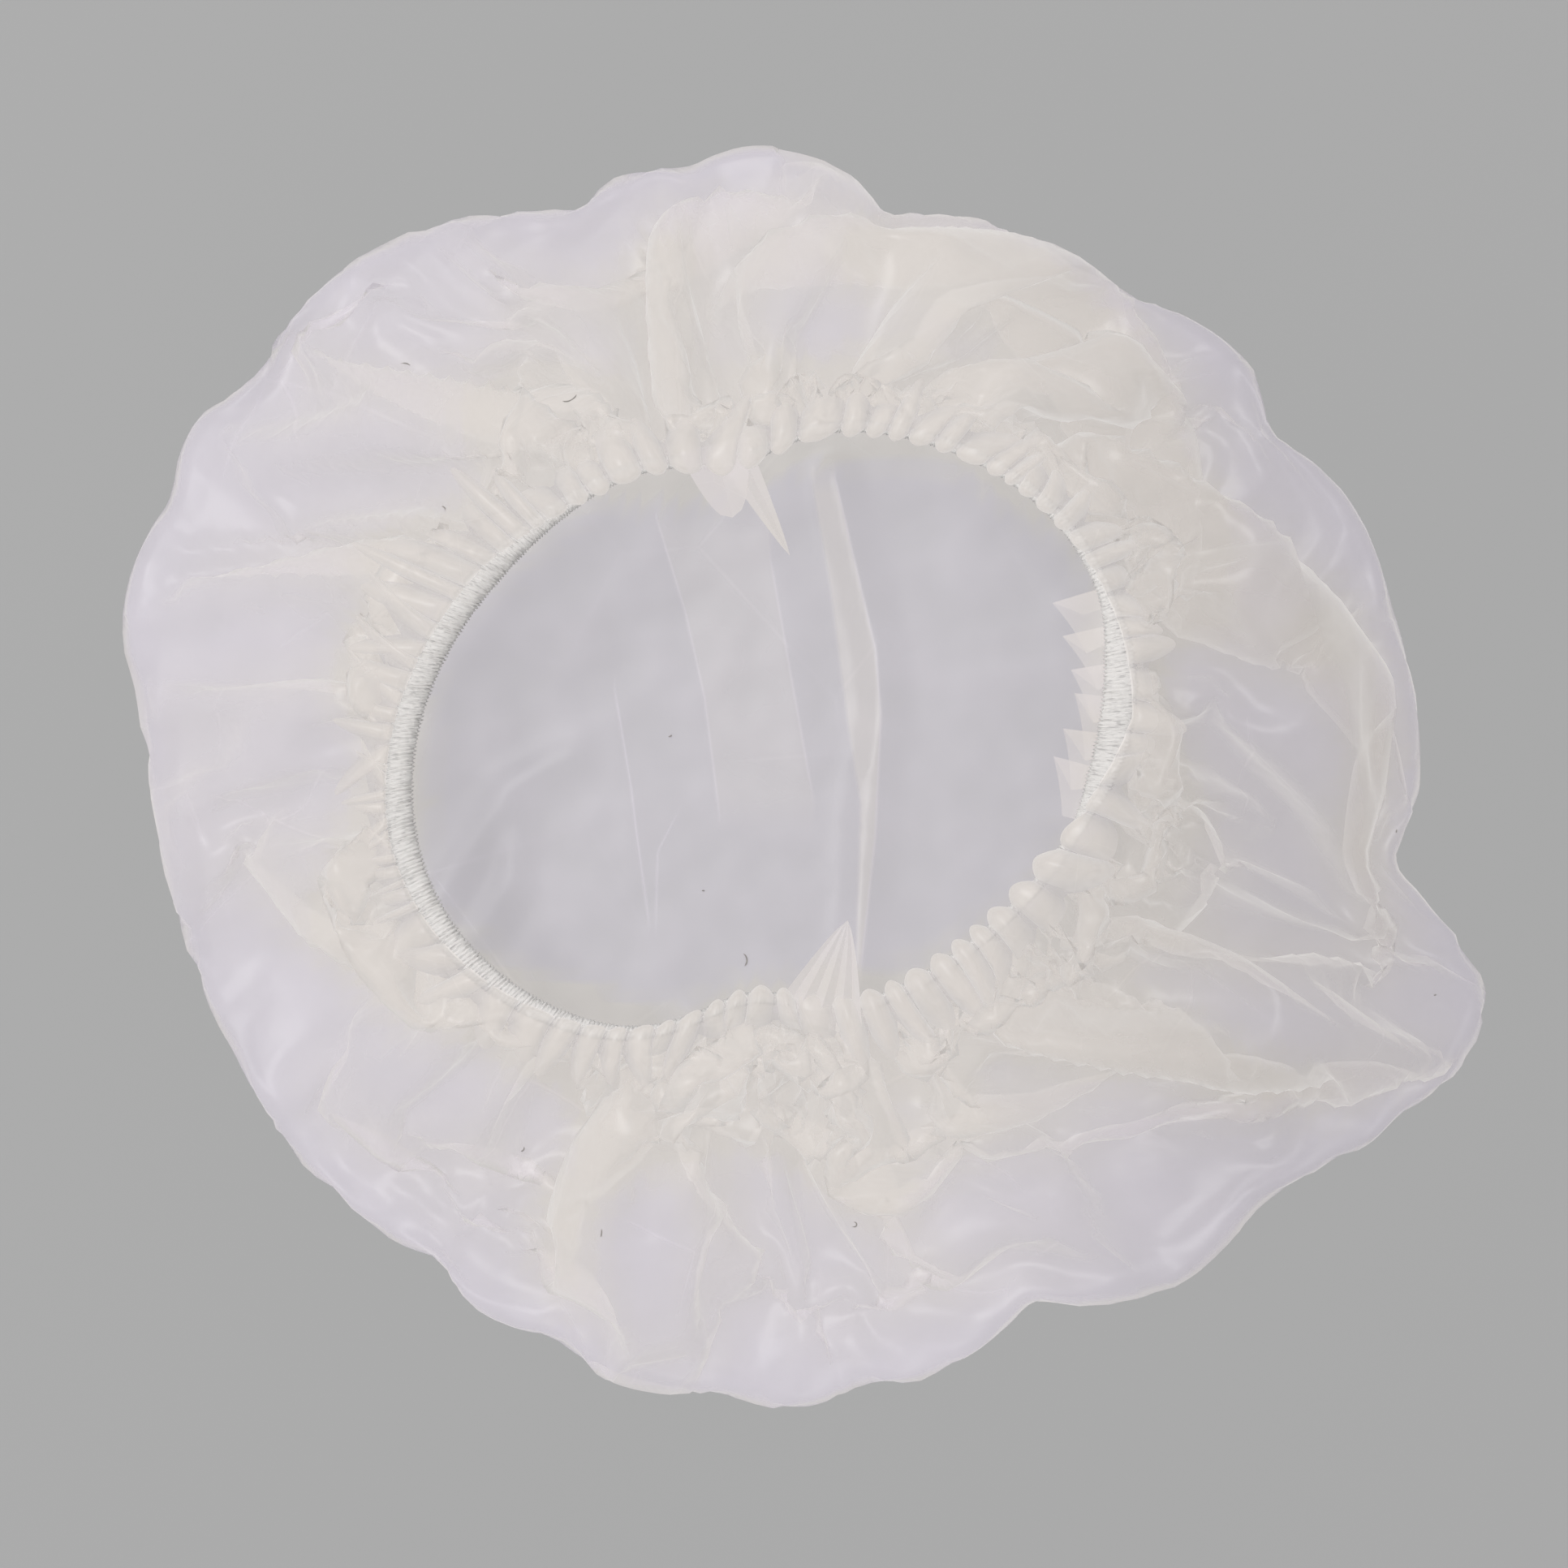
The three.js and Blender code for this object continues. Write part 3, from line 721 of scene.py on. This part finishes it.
cell_borders = node(crinkle, "TexVoronoi", feature="DISTANCE_TO_EDGE", voronoi_dimensions="2D")
crinkle.links.new(place, cell_borders.inputs["Vector"])
crinkle.links.new(group_in.outputs["Facets"], cell_borders.inputs["Scale"])
crease_line = map_range(crinkle, cell_borders.outputs["Distance"], 0.0, CREASE_WIDTH, 1.0, 0.0)
patches = map_range(crinkle, flat_noise(PATCH_SCALE, 1), 0.48, 0.64)
crease = math_node(crinkle, "MULTIPLY", crease_line, patches)
cloud = flat_noise(CLOUD_SCALE, 1)
rumple = math_node(crinkle, "MULTIPLY", cloud, RUMPLE)
crinkle.links.new(crease, group_out.inputs["Crease"])
crinkle.links.new(cloud, group_out.inputs["Cloud"])
crinkle.links.new(rumple, group_out.inputs["Height"])
print("crinkle group sockets:", [item.name for item in crinkle.interface.items_tree])

# %% [markdown]
# The crown keeps the folds that packing pressed into it: thin lines that are painted lighter, partly whitened
# creases and partly a painted highlight, and two bands, one where the film lies double and one with a painted
# sheen. They are finer than the mesh, so they belong in the finish. All run roughly down the crown, so each
# is a curve node that gives the line's x for each y of the flat cut.

# %% The packing folds as a shared group
FOLD_SPAN = 0.2
STRIP_LEFT = [(-0.0320, 0.0559), (-0.0257, 0.0355), (-0.0216, 0.0170), (-0.0185, -0.0077)]
STRIP_RIGHT = [(-0.0076, 0.0471), (-0.0031, 0.0215), (0.0016, -0.0046)]
BAND_LEFT = [(0.0009, 0.0647), (0.0050, 0.0416), (0.0090, 0.0108), (0.0116, -0.0054), (0.0105, -0.0409)]
BAND_RIGHT = [(0.0062, 0.0640), (0.0147, 0.0277), (0.0159, 0.0139), (0.0147, -0.0124), (0.0116, -0.0409)]
LONG_CREASE = [(-0.0408, 0.0193), (-0.0373, -0.0016), (-0.0361, -0.0117), (-0.0335, -0.0302)]
SHORT_CREASE = [(-0.0273, -0.0070), (-0.0316, -0.0155), (-0.0320, -0.0302)]
FOLD_LINES = [
    dict(line=STRIP_LEFT, strength=0.75),
    dict(line=STRIP_RIGHT, strength=0.60),
    dict(line=BAND_RIGHT, strength=0.70),
    dict(line=LONG_CREASE, strength=1.0),
    dict(line=SHORT_CREASE, strength=0.8),
]
LINE_WIDTH = 0.0005
FOLD_BANDS = [
    # painted sheen: the strip between STRIP_LEFT and STRIP_RIGHT is made lighter
    dict(left=STRIP_LEFT, right=STRIP_RIGHT, strength=0.45),
    dict(left=BAND_LEFT, right=BAND_RIGHT, strength=1.0),
]
packing = bpy.data.node_groups.new("packing folds", "ShaderNodeTree")
packing.interface.new_socket("Place", in_out="INPUT", socket_type="NodeSocketVector")
packing.interface.new_socket("Line", in_out="OUTPUT", socket_type="NodeSocketFloat")
packing.interface.new_socket("Doubled and sheen", in_out="OUTPUT", socket_type="NodeSocketFloat")
fold_in = packing.nodes.new("NodeGroupInput")
fold_out = packing.nodes.new("NodeGroupOutput")
parted = node(packing, "SeparateXYZ")
packing.links.new(fold_in.outputs["Place"], parted.inputs["Vector"])
fold_y = map_range(packing, parted.outputs["Y"], -FOLD_SPAN / 2, FOLD_SPAN / 2)


def right_of(line):
    """How far a place lies to the right of a line of points."""
    curve = node(packing, "FloatCurve")
    shape = curve.mapping.curves[0]
    upward = sorted((y / FOLD_SPAN + 0.5, x / FOLD_SPAN + 0.5) for x, y in line)
    shape.points[0].location = (0, upward[0][1])
    shape.points[1].location = (1, upward[-1][1])
    for spot in upward:
        shape.points.new(*spot)
    for point in shape.points:
        point.handle_type = "VECTOR"
    curve.mapping.update()
    packing.links.new(fold_y, curve.inputs["Value"])
    line_x = map_range(packing, curve.outputs["Value"], 0.0, 1.0, -FOLD_SPAN / 2, FOLD_SPAN / 2)
    return math_node(packing, "SUBTRACT", parted.outputs["X"], line_x)


def between_ends(mask, line, fade=0.004):
    """Keeps a mask between a line's lowest and highest point."""
    low = min(y for _, y in line)
    high = max(y for _, y in line)
    above = map_range(packing, parted.outputs["Y"], low - fade, low + fade)
    below = map_range(packing, parted.outputs["Y"], high + fade, high - fade)
    return math_node(packing, "MULTIPLY", math_node(packing, "MULTIPLY", mask, above), below)


offsets = {line[0]: right_of(line)
           for line in (STRIP_LEFT, STRIP_RIGHT, BAND_LEFT, BAND_RIGHT, LONG_CREASE, SHORT_CREASE)}
line_sum = 0.0
for row in FOLD_LINES:
    beside = math_node(packing, "ABSOLUTE", offsets[row["line"][0]], 0.0)
    thin = map_range(packing, beside, 0.0, LINE_WIDTH, row["strength"], 0.0)
    line_sum = math_node(packing, "ADD", between_ends(thin, row["line"]), line_sum)
band_sum = 0.0
for row in FOLD_BANDS:
    inside = map_range(packing, offsets[row["left"][0]], -LINE_WIDTH, LINE_WIDTH)
    before = map_range(packing, offsets[row["right"][0]], LINE_WIDTH, -LINE_WIDTH)
    inside = math_node(packing, "MULTIPLY", inside, before)
    inside = math_node(packing, "MULTIPLY", between_ends(inside, row["left"]), row["strength"])
    band_sum = math_node(packing, "ADD", inside, band_sum)
packing.links.new(line_sum, fold_out.inputs["Line"])
packing.links.new(band_sum, fold_out.inputs["Doubled and sheen"])
print("packing folds:", len(FOLD_LINES), "lines,", len(FOLD_BANDS), "bands")

# %% [markdown]
# Film is milky rather than clear. One layer hides about half of what lies behind it, so brightness builds up
# layer by layer, from lavender on one layer to cream where many lie together. Alpha does this. Most of the
# light that comes back is emission, a painted glow that stands in for light scattered between the layers: it
# is quick and came closest to the photograph, but it doesn't follow the lamp. A layer that is seen on edge
# has a longer way through, as in glass, so it covers more, and a painted glow brightens it there.
# One function makes each film finish, because the film, the hem, the frill and the tags are the same plastic.
# They differ in where the pattern comes from and in how milky the gathers make them, and the hem has a
# painted shade in the valleys between its rolls. Only the large film has the packing folds, and a painted
# shade towards the right, where the photograph's film is darker.

# %% The film finishes
LAVENDER = (0.735, 0.685, 0.760, 1)
CREAM = (0.725, 0.676, 0.640, 1)
# painted shade: the colour of the valleys between the hem's rolls
VALLEY_SHADE = (0.560, 0.530, 0.535, 1)
EDGE_GLOW = (0.860, 0.825, 0.800, 1)
GLOW = 0.55
LIT_SHARE = 0.41
FAR_SIDE = 0.78
FAR_FROM = 0.03
FAR_TO = 0.10
SLANT_COVER = 0.30
CREASE_COVER = 0.04
OUTER_CREASES = 0.07
LINE_COVER = 0.16
DOUBLED_AND_SHEEN_COVER = 0.17
DOUBLED_AND_SHEEN_CREAM = 0.6
CLOUD_COVER = 0.03
FILM_ROUGHNESS = 0.33


def add_cover(tree, cover, mask, share):
    """Adds a share of a mask to how much the film covers."""
    return math_node(tree, "ADD", cover, math_node(tree, "MULTIPLY", mask, share))


def film_finish(name, place_of, facets, cream_of, opacity, thin=LAVENDER, folds=None):
    """Milky film that brightens layer by layer and carries a painted glow. cream_of gives 0 for the thin
    colour, on the hem a painted valley shade, and 1 for cream.
    """
    finish, tree, output = new_finish(name)
    pattern = node(tree, "Group")
    pattern.node_tree = crinkle
    pattern.inputs["Facets"].default_value = facets
    tree.links.new(place_of(tree), pattern.inputs["Place"])
    cream = cream_of(tree)
    tint = node(tree, "Mix", data_type="RGBA")
    tint.inputs[6].default_value = thin
    tint.inputs[7].default_value = CREAM
    bump = node(tree, "Bump")
    bump.inputs["Strength"].default_value = 0.35
    bump.inputs["Distance"].default_value = 0.002
    tree.links.new(pattern.outputs["Height"], bump.inputs["Height"])
    slant = node(tree, "LayerWeight")
    slant.inputs["Blend"].default_value = 0.5
    edge = map_range(tree, slant.outputs["Facing"], 0.25, 0.90)
    cover = map_range(tree, cream, 0.0, 1.0, *opacity)
    cover = add_cover(tree, cover, edge, SLANT_COVER)
    cover = add_cover(tree, cover, pattern.outputs["Crease"], CREASE_COVER)
    cloud_cover = map_range(tree, pattern.outputs["Cloud"], 0.3, 0.7, -CLOUD_COVER, CLOUD_COVER)
    cover = math_node(tree, "ADD", cover, cloud_cover)
    if folds:
        packed = node(tree, "Group")
        packed.node_tree = folds
        tree.links.new(place_of(tree), packed.inputs["Place"])
        # fold lines are painted lighter, partly whitened creases and partly a painted highlight; the bands
        # add doubled film and a painted sheen
        cover = add_cover(tree, cover, packed.outputs["Line"], LINE_COVER)
        cover = add_cover(tree, cover, packed.outputs["Doubled and sheen"], DOUBLED_AND_SHEEN_COVER)
        cream = add_cover(tree, cream, packed.outputs["Doubled and sheen"], DOUBLED_AND_SHEEN_CREAM)
        to_edge = node(tree, "Attribute", attribute_name="edge_distance").outputs["Fac"]
        outer = math_node(tree, "MULTIPLY", pattern.outputs["Crease"], map_range(tree, to_edge, 0.19, 0.14))
        cover = add_cover(tree, cover, outer, OUTER_CREASES)
        cover = math_node(tree, "MULTIPLY", cover, map_range(tree, to_edge, 0.004, 0.016, 0.6, 1.0))
    tree.links.new(cream, tint.inputs[0])
    colour = tint.outputs[2]
    if folds:
        across = node(tree, "SeparateXYZ")
        tree.links.new(object_place(tree), across.inputs["Vector"])
        far_shade = map_range(tree, across.outputs["X"], FAR_FROM, FAR_TO, 1.0, FAR_SIDE)
        shaded = node(tree, "VectorMath", operation="SCALE")
        tree.links.new(colour, shaded.inputs[0])
        tree.links.new(far_shade, shaded.inputs["Scale"])
        colour = shaded.outputs["Vector"]
    # painted glow: the emission colour turns towards EDGE_GLOW where the film is seen on edge
    shine = node(tree, "Mix", data_type="RGBA")
    shine.inputs[7].default_value = EDGE_GLOW
    tree.links.new(edge, shine.inputs[0])
    tree.links.new(colour, shine.inputs[6])
    # painted glow: most of the film's brightness is emission, and the base colour keeps only LIT_SHARE of it
    dimmed = node(tree, "VectorMath", operation="SCALE")
    dimmed.inputs["Scale"].default_value = LIT_SHARE
    tree.links.new(colour, dimmed.inputs[0])
    surface = node(tree, "BsdfPrincipled")
    surface.inputs["Roughness"].default_value = FILM_ROUGHNESS
    surface.inputs["Specular IOR Level"].default_value = 0.4
    surface.inputs["Emission Strength"].default_value = GLOW
    tree.links.new(dimmed.outputs["Vector"], surface.inputs["Base Color"])
    tree.links.new(shine.outputs[2], surface.inputs["Emission Color"])
    tree.links.new(bump.outputs["Normal"], surface.inputs["Normal"])
    tree.links.new(cover, surface.inputs["Alpha"])
    tree.links.new(surface.outputs["BSDF"], output.inputs["Surface"])
    return finish


def sheet_place(tree):
    """The place on the flat cut, in metres, from the film's own UV map."""
    read = node(tree, "UVMap", uv_map="sheet")
    centred = node(tree, "VectorMath", operation="SUBTRACT")
    centred.inputs[1].default_value = (0.5, 0.5, 0)
    tree.links.new(read.outputs["UV"], centred.inputs[0])
    scaled = node(tree, "VectorMath", operation="SCALE")
    scaled.inputs["Scale"].default_value = FLAT_SIZE
    tree.links.new(centred.outputs["Vector"], scaled.inputs[0])
    return scaled.outputs["Vector"]


def object_place(tree):
    """The place on the cap, in metres."""
    return node(tree, "TexCoord").outputs["Object"]


def cream_by_layers(tree):
    """Cream where three layers or more of film lie over each other."""
    return map_range(tree, node(tree, "Attribute", attribute_name="layers").outputs["Fac"], 1.6, 5.5)


def cream_by_rolls(tree):
    """Cream on the rolls, and a painted shade in the valleys between them."""
    return map_range(tree, node(tree, "Attribute", attribute_name="rolls").outputs["Fac"], 0.1, 0.8)


def cream_by_chance(tree):
    """Cream all over, with slow changes."""
    slow = node(tree, "TexNoise")
    slow.inputs["Scale"].default_value = 60
    tree.links.new(object_place(tree), slow.inputs["Vector"])
    return map_range(tree, slow.outputs["Fac"], 0.3, 0.7, 0.55, 1.0)


WIDE_FACETS = 24.0
FINE_FACETS = 70.0
milky_film = film_finish("milky film", sheet_place, WIDE_FACETS, cream_by_layers, (0.44, 0.54), folds=packing)
gathered_film = film_finish("gathered film", object_place, FINE_FACETS, cream_by_rolls, (0.50, 0.62), VALLEY_SHADE)
loose_film = film_finish("loose film", object_place, FINE_FACETS, cream_by_chance, (0.36, 0.48))
sealed_film = film_finish("sealed film", object_place, FINE_FACETS, cream_by_chance, (0.62, 0.80))
film.data.materials.append(milky_film)
hem.data.materials.append(gathered_film)
frill.data.materials.append(loose_film)
for piece in seal_ends:
    piece.data.materials.append(sealed_film)
print("finishes:", [m.name for m in bpy.data.materials if m.users])

# %% [markdown]
# Film this thin throws almost no shadow and hardly shows in reflections. Leaving it out of shadows and of
# light that has bounced changes the picture little and saves much time.

# %% Film stays out of shadows and bounced light
film_pieces = [film, hem, frill, *seal_ends]
for piece in film_pieces:
    piece.visible_shadow = False
    piece.visible_diffuse = False
    piece.visible_glossy = False
print("film pieces out of shadows:", len(film_pieces))

# %% [markdown]
# The elastic is white, fuzzy and a little soiled, with fine grey flecks all along it. The flecks come from
# noise on the rope's own UV map, stretched across the rope.

# %% The elastic's finish
elastic_finish, tree, output = new_finish("elastic fibre")
wrap = node(tree, "UVMap", uv_map="wrap")
stretched = node(tree, "Mapping")
stretched.inputs["Scale"].default_value = (2400, 420, 1)
tree.links.new(wrap.outputs["UV"], stretched.inputs["Vector"])
fibre = node(tree, "TexNoise", noise_dimensions="2D")
fibre.inputs["Scale"].default_value = 1
fibre.inputs["Detail"].default_value = 3
tree.links.new(stretched.outputs["Vector"], fibre.inputs["Vector"])
flecks = map_range(tree, fibre.outputs["Fac"], 0.58, 0.72)
tint = node(tree, "Mix", data_type="RGBA")
tint.inputs[6].default_value = (0.78, 0.755, 0.735, 1)
tint.inputs[7].default_value = (0.56, 0.54, 0.53, 1)
tree.links.new(flecks, tint.inputs[0])
bump = node(tree, "Bump")
bump.inputs["Strength"].default_value = 0.8
bump.inputs["Distance"].default_value = 0.0008
tree.links.new(fibre.outputs["Fac"], bump.inputs["Height"])
surface = node(tree, "BsdfPrincipled")
surface.inputs["Roughness"].default_value = 0.75
surface.inputs["Sheen Weight"].default_value = 0.3
tree.links.new(tint.outputs[2], surface.inputs["Base Color"])
tree.links.new(bump.outputs["Normal"], surface.inputs["Normal"])
tree.links.new(surface.outputs["BSDF"], output.inputs["Surface"])
rope.data.materials.append(elastic_finish)
print("elastic finish:", len(tree.nodes), "nodes")

# %% The lint's finish
lint_finish, tree, output = new_finish("grey lint")
mottle = node(tree, "TexNoise")
mottle.inputs["Scale"].default_value = 1500
tree.links.new(object_place(tree), mottle.inputs["Vector"])
tint = node(tree, "Mix", data_type="RGBA")
tint.inputs[6].default_value = (0.20, 0.19, 0.18, 1)
tint.inputs[7].default_value = (0.36, 0.33, 0.30, 1)
tree.links.new(mottle.outputs["Fac"], tint.inputs[0])
surface = node(tree, "BsdfPrincipled")
surface.inputs["Roughness"].default_value = 0.8
tree.links.new(tint.outputs[2], surface.inputs["Base Color"])
tree.links.new(surface.outputs["BSDF"], output.inputs["Surface"])
lint.data.materials.append(lint_finish)
print("lint finish:", len(tree.nodes), "nodes")

# %% [markdown]
# The cap is photographed from straight above on a plain pale floor. A large soft light stands at the upper
# left, and a sky that is brighter low down than overhead fills the rest, so shadows stay faint. The long lens
# keeps the view almost flat. Few bounces of light are followed, and six layers of film, which is enough here.

# %% Floor, light and camera
FRAME_WIDTH = 0.334
SENSOR_WIDTH = 36
CAMERA_HEIGHT = 2.2
CAMERA_AIM = (-0.0047, -0.0011)
deselect()
bpy.ops.mesh.primitive_plane_add(size=8)
floor = bpy.context.object
floor.name = "floor"
floor_finish, tree, output = new_finish("pale floor")
grain = node(tree, "TexNoise")
grain.inputs["Scale"].default_value = 3
tree.links.new(object_place(tree), grain.inputs["Vector"])
shade = node(tree, "Mix", data_type="RGBA")
shade.inputs[6].default_value = (0.375, 0.375, 0.375, 1)
shade.inputs[7].default_value = (0.385, 0.385, 0.385, 1)
tree.links.new(grain.outputs["Fac"], shade.inputs[0])
surface = node(tree, "BsdfPrincipled")
surface.inputs["Roughness"].default_value = 1
surface.inputs["Specular IOR Level"].default_value = 0
tree.links.new(shade.outputs[2], surface.inputs["Base Color"])
tree.links.new(surface.outputs["BSDF"], output.inputs["Surface"])
floor.data.materials.append(floor_finish)

world = bpy.data.worlds.new("soft sky")
scene.world = world
world.use_nodes = True
backdrop = world.node_tree.nodes["Background"]
backdrop.inputs["Color"].default_value = (1, 1, 1, 1)
sky_place = node(world.node_tree, "TexCoord")
sky_height = node(world.node_tree, "SeparateXYZ")
world.node_tree.links.new(sky_place.outputs["Generated"], sky_height.inputs["Vector"])
sky_light = map_range(world.node_tree, sky_height.outputs["Z"], 0.0, 0.8, 1.1, 0.45)
world.node_tree.links.new(sky_light, backdrop.inputs["Strength"])
bpy.ops.object.light_add(type="AREA", location=(-0.8, 0.6, 3.0))
lamp = bpy.context.object
lamp.name = "soft_light"
lamp.data.energy = 55
lamp.data.size = 1.6
lamp.rotation_euler = (-lamp.location).to_track_quat("-Z", "Y").to_euler()
bpy.ops.object.camera_add(location=(*CAMERA_AIM, CAMERA_HEIGHT), rotation=(0, 0, 0))
camera = bpy.context.object
camera.data.sensor_width = SENSOR_WIDTH
camera.data.lens = SENSOR_WIDTH * CAMERA_HEIGHT / FRAME_WIDTH
scene.camera = camera
scene.cycles.transparent_max_bounces = 6
scene.cycles.max_bounces = 2
scene.view_settings.view_transform = "Standard"
print("camera lens", round(camera.data.lens, 1))

# %% [markdown]
# Last, every piece is tied to the imported part: what it rides on and which solid it stands for, which is
# then hidden.

# %% What each piece stands for
for piece, stands_for, slot in [
    (film, "crown_film", "film"), (hem, "gathered_hem", "hem_film"), (rope, "elastic_band", "elastic"),
    (frill, None, "hem_film"), *[(tag, None, "hem_film") for tag in seal_ends], (lint, None, "elastic"),
]:
    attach(piece, "root")
    if stands_for:
        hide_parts(stands_for)
